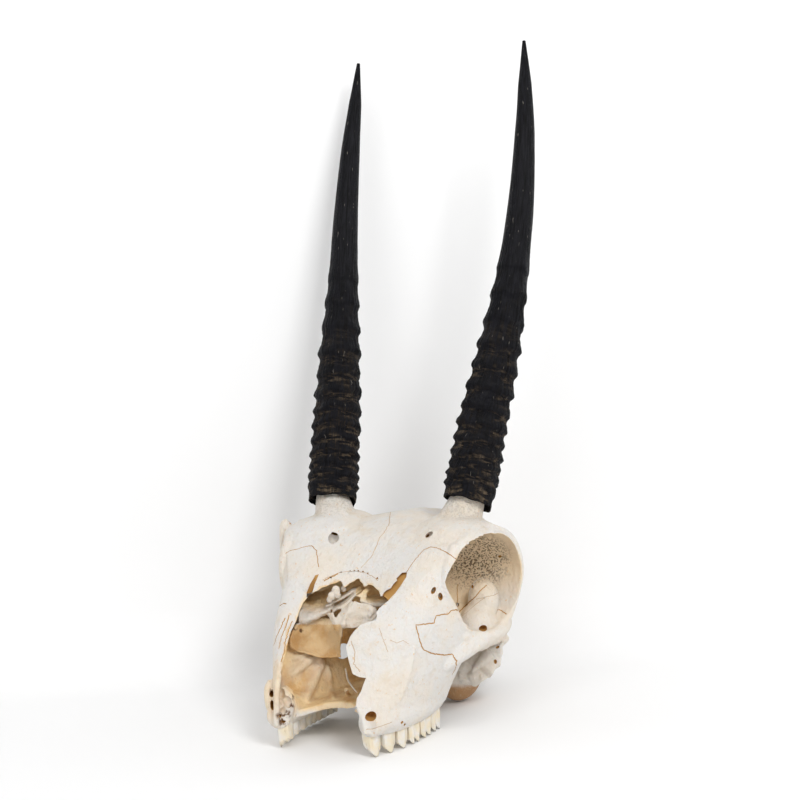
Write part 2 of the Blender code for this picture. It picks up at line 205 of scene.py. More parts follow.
# Soft studio light: a white room, a large softbox high on the right of the camera,
# and a weaker one in front that opens the shadows.
ROOM_LIGHT = 0.5
SOFTBOXES = (
    ("key_softbox", (0.75, -0.55, 0.75), 0.35, 6.0),
    ("front_softbox", (0.1, -0.95, 0.75), 0.6, 2.4),
)
LIGHT_AIM = Vector((0.0, 0.0, 0.08))

room = bpy.data.worlds.new("white_room")
room.use_nodes = True
room.node_tree.nodes["Background"].inputs["Color"].default_value = (1.0, 1.0, 1.0, 1.0)
room.node_tree.nodes["Background"].inputs["Strength"].default_value = ROOM_LIGHT
bpy.context.scene.world = room
for name, stand, size, power in SOFTBOXES:
    light = bpy.data.lights.new(name, "AREA")
    light.size = size
    light.energy = power
    softbox = bpy.data.objects.new(name, light)
    softbox.location = stand
    softbox.rotation_euler = (Vector(stand) - LIGHT_AIM).to_track_quat("Z", "Y").to_euler()
    bpy.context.scene.collection.objects.link(softbox)


# The bone of the skull, one grown piece. It is built up from eggs, rods and curved plates,
# which are fused to one skin, hollowed where there is air, eased and thinned.
# Lengths are millimetres from a point just behind the occiput; the frame's origin is further forward.
MM = 0.001
FORWARD = Vector((0.0, 64.1, 0.0))
SKIN_VOXEL = 0.38
BONE_TRIANGLES = 150000
SEAM_PACE = 1.6
SEAM_JITTER = 0.7
SEAM_SEED = 9.0
# Vector noise starts from the clock unless it is seeded. It bends the seams and crumples the thin plates.
CRUMPLE_SEED = 11
noise.seed_set(CRUMPLE_SEED)
ORBIT_TURN = math.radians(-20)
ORBIT_RIM = ((36.0, -64.9, 63.4), (32.3, -79.0, 59.8), (30.0, -85.2, 50.0), (30.6, -80.5, 38.5),
             (32.6, -71.5, 30.2), (35.6, -63.0, 29.4), (37.8, -56.3, 36.5), (39.5, -52.4, 48.0),
             (38.8, -56.2, 58.4))
HORN_PATH = ((26.3, -59.6, 72.0), (28.6, -50.3, 96.0), (31.3, -40.6, 120.0), (33.5, -31.8, 144.0),
             (34.9, -24.6, 168.0), (34.9, -18.3, 192.0), (34.1, -14.2, 209.0), (33.3, -11.2, 224.0))
TOOTH_ROWS = {
    1: ((16.4, -115.6), (18.0, -106.0), (18.9, -96.5), (18.9, -87.0), (18.2, -77.2)),
    -1: ((16.4, -115.6), (18.4, -106.0), (19.8, -96.5), (20.4, -87.0), (20.4, -77.2)),
}


def spot(point, side=1):
    """A point of the left half in millimetres, on either side, in the frame's metres."""
    return (Vector((point[0] * side, point[1], point[2])) + FORWARD) * MM


def blend(values, share):
    """The value at a share of the way along a list, on a smooth curve through its values."""
    along = share * (len(values) - 1)
    first = max(0, min(int(along), len(values) - 2))
    t = along - first
    b, c = values[first], values[first + 1]
    a = values[first - 1] if first > 0 else b + (b - c)
    d = values[first + 2] if first + 2 < len(values) else c + (c - b)
    return (b * 2 + (c - a) * t + (a * 2 - b * 5 + c * 4 - d) * t ** 2
            + (b * 3 - a - c * 3 + d) * t ** 3) * 0.5


def alone(*objects):
    """Selects these objects and nothing else."""
    bpy.ops.object.select_all(action="DESELECT")
    for each in objects:
        each.select_set(True)
    bpy.context.view_layer.objects.active = objects[0]


def finished(piece, kind, **settings):
    """Puts a modifier on the piece and applies it."""
    alone(piece)
    modifier = piece.modifiers.new(kind.lower(), kind)
    for name, value in settings.items():
        setattr(modifier, name, value)
    bpy.ops.object.modifier_apply(modifier=modifier.name)
    return piece


def ball(segments, rings, stand, radii):
    """A ball stretched to three radii in metres, and moved and turned by a matrix."""
    bpy.ops.object.select_all(action="DESELECT")
    bpy.ops.mesh.primitive_uv_sphere_add(segments=segments, ring_count=rings, radius=1.0)
    made = bpy.context.object
    made.data.transform(stand @ Matrix.Diagonal((*radii, 1.0)))
    return made


def egg(centre, radii, side=1, turn=0.0, tilt=0.0):
    """An egg-shaped form, turned about the upright and tilted about the sideways axis."""
    stand = Matrix.Translation(spot(centre, side)) @ Matrix.Rotation(turn * side, 4, "Z")
    return ball(36, 20, stand @ Matrix.Rotation(tilt, 4, "X"), Vector(radii) * MM)


def rod(points, radii, side=1, closed=False, steps=6, resolution=6):
    """A round rod of changing thickness through the points."""
    curve = bpy.data.curves.new("rod", "CURVE")
    curve.dimensions = "3D"
    curve.bevel_depth = MM
    curve.bevel_resolution = resolution
    curve.use_fill_caps = True
    spine = [Vector(point) for point in points]
    thickness = [float(radius) for radius in radii]
    if closed:
        spine.append(spine[0])
        thickness.append(thickness[0])
    whole = (len(spine) - 1) * steps
    spline = curve.splines.new("POLY")
    spline.points.add(whole - 1 if closed else whole)
    spline.use_cyclic_u = closed
    for i, knot in enumerate(spline.points):
        knot.co = (*spot(blend(spine, i / whole), side), 1.0)
        knot.radius = blend(thickness, i / whole)
    made = bpy.data.objects.new("rod", curve)
    bpy.context.scene.collection.objects.link(made)
    alone(made)
    bpy.ops.object.convert(target="MESH")
    return finished(bpy.context.object, "WELD", merge_threshold=0.00001)


def plate(rows, thickness, side=1, place=spot, crumple=0.0):
    """A curved plate of bone over a grid of points, smooth or crumpled."""
    across = len(rows[0])
    made = grid(across, len(rows))
    for i, corner in enumerate(made.data.vertices):
        corner.co = place(rows[i // across][i % across], side)
    finished(made, "SUBSURF", levels=3, render_levels=3, boundary_smooth="PRESERVE_CORNERS")
    if crumple:
        for corner in made.data.vertices:
            corner.co += noise.noise_vector(corner.co / MM * 0.45) * crumple * MM
            corner.co += noise.noise_vector(corner.co / MM * 1.7) * crumple * MM * 0.3
    return finished(made, "SOLIDIFY", thickness=thickness * MM, offset=0.0)


def seen(point, side=1):
    """The place that the camera sees at a column and row of the photo, so many millimetres away."""
    column, row, away = point
    ray = Vector(((column - PHOTO_SIDE / 2) / PIXELS, (PHOTO_SIDE / 2 - row) / PIXELS, -1.0))
    return EYE + CAMERA_TURN @ ray * (away * MM)


def on_skull(there):
    """A place in the frame's metres, in the skull's own millimetres."""
    return there / MM - FORWARD


def sighted(places):
    """The places that the camera sees, in the skull's own millimetres."""
    return [on_skull(seen(place)) for place in places]


def struck(tree, column, row):
    """Where the line of sight through a pixel first meets a surface, or None."""
    return tree.ray_cast(EYE, (seen((column, row, 100.0)) - EYE).normalized())[0]


def surface_of(piece):
    """A search tree over the piece's faces."""
    shape = bmesh.new()
    shape.from_mesh(piece.data)
    tree = BVHTree.FromBMesh(shape)
    shape.free()
    return tree


def prism(outline, near):
    """The space behind an outline in pixels, from one distance to the one that each corner sets."""
    shape = bmesh.new()
    front = [shape.verts.new(seen((*corner[:2], near))) for corner in outline]
    rear = [shape.verts.new(seen(corner)) for corner in outline]
    shape.faces.new(front)
    shape.faces.new(rear[::-1])
    for k in range(len(outline)):
        shape.faces.new((front[k - 1], rear[k - 1], rear[k], front[k]))
    bmesh.ops.triangulate(shape, faces=shape.faces)
    bmesh.ops.recalc_face_normals(shape, faces=shape.faces)
    mesh = bpy.data.meshes.new("prism")
    shape.to_mesh(mesh)
    shape.free()
    made = bpy.data.objects.new("prism", mesh)
    bpy.context.scene.collection.objects.link(made)
    return made


def wandering(line, pace, jitter, seed):
    """More points along a line in pixels, which stray a little from it."""
    points = []
    for (a, b), (c, d) in zip(line, line[1:]):
        count = max(1, round(math.hypot(c - a, d - b) / pace))
        for k in range(count):
            share = k / count
            column = a + (c - a) * share
            row = b + (d - b) * share
            stray = noise.noise_vector(Vector((column * 0.7, row * 0.7, seed))) * jitter
            points.append((column + stray.x, row + stray.y))
    return points + [line[-1]]


def joined(pieces):
    """The pieces as one object."""
    alone(*pieces)
    bpy.ops.object.join()
    return bpy.context.object


def fused(name, forms, voxel=SKIN_VOXEL):
    """One skin over all the forms."""
    made = joined(forms)
    made.name = made.data.name = name
    return finished(made, "REMESH", mode="VOXEL", voxel_size=voxel * MM)


def less(piece, cutter, material=None):
    """Takes the cutter's volume away from the piece. The cut faces may take a material of their own."""
    if material:
        cutter.data.materials.clear()
        cutter.data.materials.append(material)
    finished(piece, "BOOLEAN", operation="DIFFERENCE", solver="MANIFOLD", object=cutter,
             material_mode="TRANSFER")
    bpy.data.objects.remove(cutter, do_unlink=True)
    return piece


def seams(tree, lines):
    """Thin rods along lines in pixels, half sunk in the surface that the camera sees."""
    made = []
    for order, (line, width) in enumerate(lines):
        track = wandering(line, SEAM_PACE, SEAM_JITTER, order * SEAM_SEED)
        found = [struck(tree, *place) for place in track]
        points = [on_skull(there) for there in found if there]
        radii = [width / 2 * (1.0 + 0.35 * noise.noise(point * 0.8)) for point in points]
        made.append(rod(points, radii, steps=1, resolution=1))
    return made


def pit(tree, column, row, wide, high, turn, depth):
    """An egg at a pixel of the surface. Half its width and height are in pixels, its depth in millimetres."""
    there = struck(tree, column, row)
    size = (there - EYE).length / PIXELS
    stand = Matrix.Translation(there) @ CAMERA_TURN.to_4x4() @ Matrix.Rotation(math.radians(turn), 4, "Z")
    return ball(20, 12, stand, (wide * size, high * size, depth * MM))


def horn_middle(height):
    """The middle of the left horn at a height, also a little below its rim."""
    spine = [Vector(point) for point in HORN_PATH]
    if height < spine[0].z:
        return spine[0] + (spine[1] - spine[0]) * ((height - spine[0].z) / (spine[1].z - spine[0].z))
    low, high = 0.0, 1.0
    for _ in range(20):
        share = (low + high) / 2
        if blend(spine, share).z < height:
            low = share
        else:
            high = share
    return blend(spine, share)


forms = [
    egg((0, -41, 43.5), (23.5, 28, 22)),
    egg((0, -56, 52.5), (26, 16, 12.3)),
    egg((0, -26, 34), (18, 12.5, 17)),
    rod(((0, -84, 30), (0, -66, 28), (0, -48, 23), (0, -30, 19), (0, -19, 18)), (4, 6, 6, 6.5, 7.5)),
    rod(((-18.5, -28, 27), (-16, -21, 41), (0, -16.5, 50.5), (16, -21, 41), (18.5, -28, 27)),
        (3.2, 2.6, 2.6, 2.6, 3.2)),
]
forehead = (
    ((0, -43, 65), (10, -43, 64), (20, -44, 60), (27, -46, 54), (30, -48, 46)),
    ((0, -55, 65.9), (9, -55, 65), (18, -55, 63), (29, -54, 62), (38.5, -53.5, 54)),
    ((0, -64, 65.4), (9, -64, 64.6), (18, -63.5, 64.0), (31, -62.5, 64.9), (40, -61, 60.3)),
    ((0, -72.5, 62), (10, -72.5, 62), (20, -73, 62.2), (31, -72.5, 63.4), (40.5, -69.5, 61.4)),
    ((0, -80, 57), (9, -80, 57), (18, -80, 58.3), (27, -80, 59.8), (34, -77.5, 60.6)),
    ((0, -86, 51.5), (7, -87, 51.5), (13, -88, 52.4), (19, -88, 54), (28, -86.5, 54)),
    ((0, -92, 43.5), (6, -93.5, 43.5), (11, -94.5, 45), (15, -94.5, 46), (24, -93, 48)),
)
cheek_top = (
    ((34, -76, 61), (31, -79, 60.5), (28, -80.5, 60), (25.5, -81, 59.5), (23.5, -81, 59), (22, -81, 58.5)),
    ((31, -84.5, 52), (29, -87, 52.5), (26.5, -88.5, 52.5), (23.5, -89.5, 52.5), (20, -89.5, 52),
     (17, -88.5, 51.5)),
)
left_cheek_side = (
    ((30.5, -83.5, 43), (28.5, -89, 44), (26, -93, 44.5), (23, -96, 44.8), (19, -97, 45),
     (11.5, -95.5, 46)),
    ((31, -79, 34.5), (29, -88, 35), (26.5, -96, 36), (23, -102.5, 37), (16, -107, 38.5), (3, -111, 41)),
    ((30.5, -73, 26.5), (28, -83, 25.5), (26, -93, 25.5), (24, -102, 26), (19, -110, 25),
     (5.5, -114, 24)),
)
right_cheek_side = (
    ((30.5, -83.5, 43), (28.5, -89, 44), (26.5, -93, 44.5), (24, -96, 44.8), (20, -97, 45),
     (13.5, -94.5, 45)),
    ((31, -79, 34.5), (29, -88, 35), (27, -96, 36), (24.5, -102.5, 37), (21, -106, 37),
     (15.5, -104.5, 36)),
    ((30.5, -73, 26.5), (28, -83, 25.5), (26.5, -93, 25.5), (25, -102, 26), (21.5, -109, 26),
     (16.2, -113.5, 25.5)),
)
cheek_bottom = (
    ((24.5, -75, 16.5), (25, -84, 16), (24.5, -93, 15), (22.5, -103, 14.5), (20, -111, 14),
     (15.5, -117.5, 15)),
    ((22, -76.5, 9.5), (22, -84, 8), (21.5, -93, 6.5), (21, -102, 6), (19, -111, 6.5), (16, -117.5, 8)),
)
duct = (
    ((25.2, -99, 33), (18, -90, 32), (13, -78, 32), (9, -60, 28)),
    ((25.0, -104, 22), (17, -90, 22), (12, -78, 22), (8, -61, 20)),
    ((20, -108, 11), (15, -94, 12), (12, -78, 12.5), (8, -66, 13.5)),
)
palate = (
    ((0, -103, 12.4), (6, -104.5, 12.2), (11, -108, 10.5), (16, -112, 9.5)),
    ((0, -94, 12.6), (6, -94, 12.4), (12, -95, 11.6), (18, -96, 10)),
    ((0, -82, 13.2), (6, -82, 13), (12, -82, 12), (18, -82, 10.5)),
    ((0, -71, 14), (6, -71, 13.8), (12, -71, 12.5), (17, -72, 11.5)),
)
for side, cheek_side in ((1, left_cheek_side), (-1, right_cheek_side)):
    forms += [
        egg((7.6, -15.5, 21.5), (4.2, 4.8, 7), side),
        rod(((15, -25, 27), (13.5, -22.5, 18), (11.5, -21, 10.5)), (4.2, 2.8, 1.5), side),
        rod(((6.5, -70, 28), (6.8, -61, 21), (7.4, -57, 12.5)), (2.2, 2.0, 1.4), side),
        rod(((6.5, -58, 26), (7, -57, 18), (7.4, -57, 12.5)), (2.6, 2.0, 1.4), side),
        egg((16.5, -31, 25), (5.5, 7.5, 9), side),
        egg((10.9, -46.0, 11.6), (8.2, 10.0, 11.2), side, tilt=math.radians(8)),
        egg((15.5, -36.0, 18.5), (6.5, 9, 8.0), side),
        rod(((17, -35.5, 19), (20.2, -32.5, 20), (22, -31, 21.5)), (4.6, 3.8, 3.0), side),
        rod(((15.5, -45, 19), (18.5, -48, 15), (19.5, -49.5, 11.5)), (3.4, 2.2, 1.1), side),
        plate(forehead, 3.0, side),
        egg((21, -60, 60), (12, 12, 8), side),
        egg((23.5, -65.0, 48.0), (24.6, 19.5, 19.6), side, turn=ORBIT_TURN),
        rod(ORBIT_RIM, (1.9,) * len(ORBIT_RIM), side, closed=True),
        rod(((26.0, -84, 22), (29.5, -78, 25), (33, -71.5, 28), (35.8, -62, 29.5), (34.2, -55, 30.5),
             (30.0, -48.5, 30.5), (24.5, -40, 30)), (2.4, 3.0, 3.2, 2.8, 2.8, 2.9, 4.2), side),
        egg((23, -42, 30), (6, 6, 4.5), side),
        plate(cheek_top + cheek_side + cheek_bottom, 1.8, side),
        rod([(x, y, 10.6) for x, y in TOOTH_ROWS[side]], (4.0, 4.8, 5.4, 5.4, 4.6), side),
        plate(duct, 1.8, side),
        plate(palate, 2.2, side),
        rod(((21, -64, 56), (24, -62, 65), HORN_PATH[0]), (11.5, 7.5, 5.7), side),
        rod([horn_middle(height) for height in (68.0, 88.5, 109.0, 129.5, 150.0)],
            (5.7, 4.9, 3.9, 2.9, 1.9), side),
    ]
skull = fused("cranium_bone", forms)

air = [
    egg((0, -84, 35), (13.5, 13, 16)),
    egg((0, -41, 44), (20.0, 24, 18.5)),
    rod(((0, -30, 30), (0, -18, 28), (0, -6, 27)), (7, 6.2, 6.4)),
    rod(((0, -84, 22), (0, -66, 19), (0, -50, 11)), (6.5, 5.5, 5.5)),
]
for side in (1, -1):
    air += [
        egg((34.5, -69.0, 46.9), (20, 16.9, 16.0), side, turn=ORBIT_TURN),
        rod(((21.5, -57, 31), (24.5, -49.5, 30.5), (25, -44, 22)), (4.0, 5.0, 5), side),
        rod(((12, -82, 24), (17, -74, 23), (24, -62, 21)), (2.6, 2.6, 3.0), side),
    ]
less(skull, fused("air", air))

# What the hollows hold: the swelling on each eye socket's floor, the sharp front rim of the socket,
# the tooth bulges along the inner side of the far jaw, and the jaw's broken front end.
JAW_RIDGES = (
    (((291, 676), (300, 668), (309, 660), (317, 657), (321, 663), (317, 674), (311, 688), (306, 702)), 1.5),
    (((327, 664), (329, 676), (331, 690), (334, 700)), 1.1),
    (((338, 668), (342, 680), (348, 694)), 0.9),
    (((292, 660), (302, 655), (312, 650)), 1.0),
)
FAR_JAW_END = ((280, 690, 540), (287, 700, 539), (285, 712, 537), (280, 718, 536))
FAR_CANALS = ((271, 680, 542), (270, 688, 541), (271, 697, 540), (273, 706, 539), (276, 714, 538))
FAR_ORBIT_EDGE = ((289, 521.5, 583), (285.6, 525, 583), (284.6, 533, 583), (284.4, 542, 582),
                  (284.6, 550, 580), (287, 559, 577))
EAR_WALL = (((456, 664, 572), (480, 650, 571), (501, 643, 570)),
            ((454, 676, 573), (478, 674, 570.5), (503, 656, 570)),
            ((462, 684, 573), (478, 687.5, 571), (496, 670, 570)))
EAR_SPIKE = ((490, 653, 570), (482, 661, 569), (476, 667, 569), (472, 672, 569))
FRONT_RIM = ((31.6, -80.5, 60.2), (31.2, -83.6, 55.5), (30.4, -85.4, 50.0), (30.3, -84.2, 44.5),
             (30.4, -80.8, 38.5), (31.2, -76.5, 34.0))
inner_forms = [skull]
inside = surface_of(skull)
for line, width in JAW_RIDGES:
    points = [on_skull(struck(inside, *place)) for place in line]
    inner_forms.append(rod(points, [width * 0.6] + [width] * (len(points) - 2) + [width * 0.6]))
inner_forms += [
    rod(sighted(FAR_JAW_END), (2.6, 3.2, 3.0, 2.4)),
    rod(sighted(FAR_CANALS), (1.0, 1.9, 2.2, 2.3, 1.6)),
    rod(sighted(FAR_ORBIT_EDGE), (1.4, 1.9, 1.8, 1.7, 1.5, 1.2)),
    plate(EAR_WALL, 1.8, place=seen, crumple=1.4),
    rod(sighted(EAR_SPIKE), (2.4, 1.7, 1.1, 0.5)),
]
for side in (1, -1):
    inner_forms += [
        egg((29, -63.5, 30.5), (6.5, 8, 8), side),
        egg((29.8, -60, 38.5), (5.2, 5.0, 7.5), side),
        egg((30.6, -75.3, 30.3), (2.4, 2.7, 2.8), side),
        rod(FRONT_RIM, (1.6, 2.0, 2.1, 2.1, 1.9, 1.6), side),
    ]
skull = fused("cranium_bone", inner_forms)
finished(skull, "SMOOTH", factor=0.5, iterations=4)
finished(skull, "DECIMATE", ratio=BONE_TRIANGLES / (2 * len(skull.data.polygons)))

# Its broken edges, seams and holes are cut where the photo shows them. These outlines are in pixels of the
# photo, with how far behind the lens the cut ends, in millimetres.
NOSE_WINDOW = (
    (307, 598, 556), (311, 594.5, 556), (314.5, 591.8, 556), (318.5, 590.2, 556), (322.7, 587.1, 556),
    (326, 586.6, 556), (329.8, 584.5, 556), (335.9, 583.1, 556), (340, 581, 556), (342, 582, 556),
    (343.2, 586, 556), (344.5, 587.1, 556), (348.2, 586.1, 556), (351.5, 587, 556), (354.3, 586.1, 556),
    (358, 583.6, 556), (360.4, 582.7, 556), (362.4, 584.2, 556), (363.5, 586.8, 556), (366, 586.2, 556),
    (368.6, 584.5, 556), (371.4, 585, 556), (373.7, 586.1, 556), (376.2, 588.8, 556), (378.8, 590.6, 556),
    (380.8, 596.3, 556), (383.5, 595.6, 552), (387.0, 598.6, 546), (388.5, 600.4, 545), (384.5, 603.8, 543),
    (379.5, 608, 542), (376.4, 612, 542), (376.8, 617, 542), (375.6, 620, 542), (369, 621.8, 542),
    (360, 625, 542), (354.2, 631, 542), (350, 637, 542), (346, 647, 542), (347.6, 656, 542),
    (349.6, 664, 542), (352.7, 674, 540), (359, 677, 538), (366, 678, 538), (363.4, 684.5, 538),
    (361, 691.5, 536), (357, 698, 534), (355.8, 706, 534), (342, 705.8, 534), (329.6, 707, 536),
    (318, 711, 536),
    (305, 716.6, 538), (293.5, 722.5, 536), (292, 716, 536), (295.5, 703.5, 540), (294, 694, 541),
    (291, 687, 542), (286.5, 684.5, 542), (283.4, 678, 542), (280.5, 672.5, 543), (283, 665, 546),
    (286.6, 654, 549), (287.2, 646, 550), (288.7, 639, 551), (291.2, 631, 551), (296.2, 621, 552),
    (299.5, 611, 552), (303, 603, 553),
)
MOUTH_WINDOW = ((357, 707, 552), (352, 716, 530), (353.6, 729, 528), (358.5, 735, 528), (350, 742, 530),
                (330, 742, 560), (300, 742, 560), (300, 727, 530), (330, 711, 552))
FISSURE = ((318.4, 567.8, 552), (314.4, 577, 552), (309.9, 584.5, 552), (306.8, 592.4, 552),
           (306.6, 597, 552), (308.8, 597.6, 552), (311.4, 594.3, 552), (313.6, 588.6, 552),
           (314.6, 584.5, 552), (319.4, 573, 552))
NEAR_FISSURE = ((382.4, 595.4), (384.4, 592), (386.6, 590.2), (390.8, 588.2), (393.4, 584), (397.1, 580.4),
                (396.4, 578.4), (402.2, 572.7), (407.0, 572.3), (406.3, 577), (400.5, 586), (395, 593.5),
                (392, 596.3), (388.4, 600.6))
FISSURE_DEPTH = 1.5
ORBIT_WINDOW = (
    (462.4, 548, 545), (461.2, 552, 545), (456.5, 559, 545), (452, 566, 545), (447.6, 574, 545),
    (445, 582, 545), (446.6, 588, 545), (449.5, 593.6, 545), (453.6, 600.4, 546), (457, 607, 547),
    (460.5, 615, 548), (463.5, 622, 548), (468, 626, 549), (472, 612, 549), (478, 595, 550),
    (478, 570, 550), (470, 556, 548),
)
HOLLOWS = ((281.5, 694, 3.6, 6.0, 0, 2.4), (287.5, 702, 4.4, 6.5, 12, 2.2), (283, 711, 3.2, 4.0, 0, 1.8),
           (333.6, 538.2, 5.6, 6.0, -25, 4.5), (429, 534.8, 5.0, 2.2, 36, 3.0))
WINDOW_NEAR = 495
FAINT_SEAMS = (
    (((390.5, 512), (389, 524), (384, 533), (380, 537), (376.5, 546), (372, 556), (365.5, 563),
      (361, 568)), 0.28),
    (((476, 599), (486, 597), (493, 595.5), (499, 592.6)), 0.24),
    (((462, 616), (470, 609.5), (478, 602.5), (485, 597)), 0.24),
    (((379, 628), (383.5, 640), (388, 652)), 0.22),
    (((390, 640), (397, 643), (403, 640.5), (409, 644)), 0.18),
    (((366, 729.5), (374, 728.6), (383, 725.5), (392, 722)), 0.25),
    (((351, 641), (355, 652), (354, 664), (360, 672)), 0.3),
)
SEAMS = (
    (((430.4, 546.7), (437, 548), (446, 552), (451, 555.5), (456.5, 559)), 0.32),
    (((430.4, 546.7), (424, 549.5), (416.5, 558), (411, 565), (406.5, 572)), 0.34),
    (((311.9, 545.7), (304, 546.8), (296, 549.5), (290, 550.5), (285.6, 553.5)), 0.32),
    (((311.9, 545.7), (316.5, 551), (317.4, 558), (318.6, 567)), 0.30),
    (((459.5, 611.5), (456, 609.6), (451, 611), (448, 614), (441, 614.6), (436, 616), (434, 623), (425, 624),
      (416, 625), (417.5, 632), (419.6, 640), (421.5, 646), (424, 650), (430, 652.6), (435, 654), (444, 655),
      (452, 654), (456.5, 661), (456, 667), (452, 675)), 0.42),
    (((459.5, 611.5), (467, 604), (475, 597), (482, 589), (487, 585)), 0.36),
    (((497.6, 609.5), (501.5, 610.8), (506.5, 614.2)), 0.42),
    (((457, 606), (457.5, 598), (457, 590), (458, 584)), 0.30),
    (((322, 580), (330, 576.6), (337, 573.5), (345, 571.6), (356, 571.2), (366, 573), (373, 576.5),
      (378, 580.5)), 0.16),
    (((324, 581), (330, 577.6), (338, 574)), 0.45),
    (((279.7, 605.8), (283, 603.4), (286.4, 604)), 0.35),
    (((285, 618), (281, 627), (276.5, 636.5), (273.6, 646)), 0.40),
    (((289.4, 615), (285.6, 627), (281.4, 637), (278.8, 649)), 0.32),
    (((292.4, 621), (288.6, 631), (285.4, 641), (284.2, 652), (281, 662)), 0.30),
)
PITS = (
    (370.8, 716.6, 5.8, 4.6, 20, 4.5), (334.6, 533.6, 3.8, 1.7, -18, 3.5), (427.6, 536.0, 2.4, 1.1, 36, 2.0),
    (433.5, 590.5, 2.2, 3.8, -28, 2.2), (440.4, 596.6, 2.4, 3.9, 8, 2.4), (483, 628.5, 4.3, 3.3, 12, 3.0),
    (290.4, 523.4, 1.0, 0.9, 0, 1.2), (271.6, 694.0, 2.4, 3.0, 0, 4.0), (272.2, 705.4, 2.2, 4.6, 12, 5.0),
    (402, 722.4, 1.7, 1.5, 0, 0.7), (404.6, 724.6, 1.1, 1.6, 0, 0.7), (500.0, 556.4, 1.9, 1.2, 20, 0.7),
    (283.6, 721.4, 2.2, 1.2, 0, 1.6), (280.4, 716.0, 1.2, 1.8, 0, 1.4), (497.6, 647.2, 2.0, 1.2, 30, 0.9),
    (495.4, 661.6, 1.6, 2.2, 10, 1.2),
    (503.6, 646.4, 1.4, 2.6, 0, 0.8), (472.4, 586.6, 1.2, 1.7, 0, 1.4), (457.5, 604.8, 1.5, 1.8, 0, 2.0),
    (350.2, 571.0, 0.7, 0.6, 0, 0.7), (354.4, 570.6, 0.8, 0.6, 0, 0.7), (358.3, 570.8, 0.9, 0.7, 0, 0.7),
    (363.0, 571.6, 0.9, 0.7, 10, 0.7), (367.8, 573.2, 0.8, 0.7, 20, 0.7), (377.2, 578.2, 1.1, 0.9, 30, 0.8),
    (340.2, 572.6, 0.9, 0.6, -10, 0.7), (330.8, 577.6, 1.2, 0.7, -30, 0.8),
)

plain = bpy.data.materials.new("dry_bone")
stain_and_hole_shading = bpy.data.materials.new("seam_stain_and_hole_shading")
skull.data.materials.clear()
skull.data.materials.append(plain)
faint = bpy.data.materials.new("closed_seam")
outside = surface_of(skull)
depths = [-(CAMERA_TURN.inverted() @ (struck(outside, *place) - EYE)).z / MM for place in NEAR_FISSURE]
near_fissure = [(*place, away + FISSURE_DEPTH) for place, away in zip(NEAR_FISSURE, depths)]
for outline in (NOSE_WINDOW, MOUTH_WINDOW, ORBIT_WINDOW):
    less(skull, prism(outline, WINDOW_NEAR), plain)
# The crack floors take the seam brown; on the near crack it is painted in as the warm light seen through the
# crack.
for outline in (FISSURE, near_fissure):
    less(skull, prism(outline, WINDOW_NEAR), stain_and_hole_shading)
outside = surface_of(skull)
less(skull, fused("hollows", [pit(outside, *measures) for measures in HOLLOWS]), plain)
outside = surface_of(skull)
pits = [pit(outside, *measures) for measures in PITS if struck(outside, *measures[:2])]
# The seams' brown is their stain; on the walls of the pits the same brown is painted shade.
less(skull, joined(seams(outside, SEAMS) + pits), stain_and_hole_shading)
less(skull, joined(seams(outside, FAINT_SEAMS)), faint)
alone(skull)
bpy.ops.object.shade_smooth_by_angle(angle=math.radians(48))


# Dry bleached bone: cream white, brown under the ears, and tan in the eye sockets, where worm-like pores on
# the roof are painted dark as the shade inside them.
# Deep in the nose a honey brown is painted in as warm light glowing and bouncing there, and dark brown around
# holes is painted shade.
CREAM = (0.81, 0.74, 0.65, 1.0)
CHALK = (0.78, 0.755, 0.72, 1.0)
STRAW = (0.69, 0.56, 0.40, 1.0)
OCHRE = (0.74, 0.45, 0.18, 1.0)
GLOW_HONEY = (0.96, 0.73, 0.42, 1.0)
CLOSED_SEAM = (0.60, 0.46, 0.31, 1.0)
SOCKET_TAN = (0.80, 0.65, 0.46, 1.0)
PORE_SHADE_BROWN = (0.14, 0.09, 0.055, 1.0)
EAR_BROWN = (0.42, 0.20, 0.055, 1.0)
SEAM_BROWN = (0.50, 0.28, 0.09, 1.0)
HOLE_SHADE_BROWN = (0.16, 0.085, 0.04, 1.0)

bone = Finish(plain)
where = bone.place()
base = bone.mixed(CREAM, CHALK, bone.patches(0.40, 0.62, where, 60.0, 4.0))
base = bone.mixed(base, STRAW, bone.patches(0.52, 0.75, where, 150.0, 6.0, 0.65) * 0.45)
# Painted warm light: the honey and ochre deep in the nose stand in for light that glows through the thin bone
# and bounces inside.
painted_glow = bone.mixed(GLOW_HONEY, OCHRE, bone.patches(0.42, 0.68, where, 130.0, 5.0))
base = bone.mixed(base, painted_glow, bone.own("depth"))
base = bone.mixed(base, SOCKET_TAN, bone.own("socket"))
base = bone.mixed(base, EAR_BROWN, bone.own("ear"))
# The pores' dark brown is painted shade inside the small holes, which the bump also sinks.
worms = bone.patches(0.52, 0.62, where, 1700.0, 2.0, 0.5) * bone.own("porous")
base = bone.mixed(base, PORE_SHADE_BROWN, worms * 0.8)
base = bone.mixed(base, OCHRE, bone.patches(0.66, 0.74, where, 800.0, 2.0) * 0.6)
grain = bone.cloud(bone.stretched(where, (1.0, 0.35, 0.35)), 1300.0, 5.0, 0.7)
base = bone.mixed(base, STRAW, bone.step(grain, 0.50, 0.78) * 0.5)
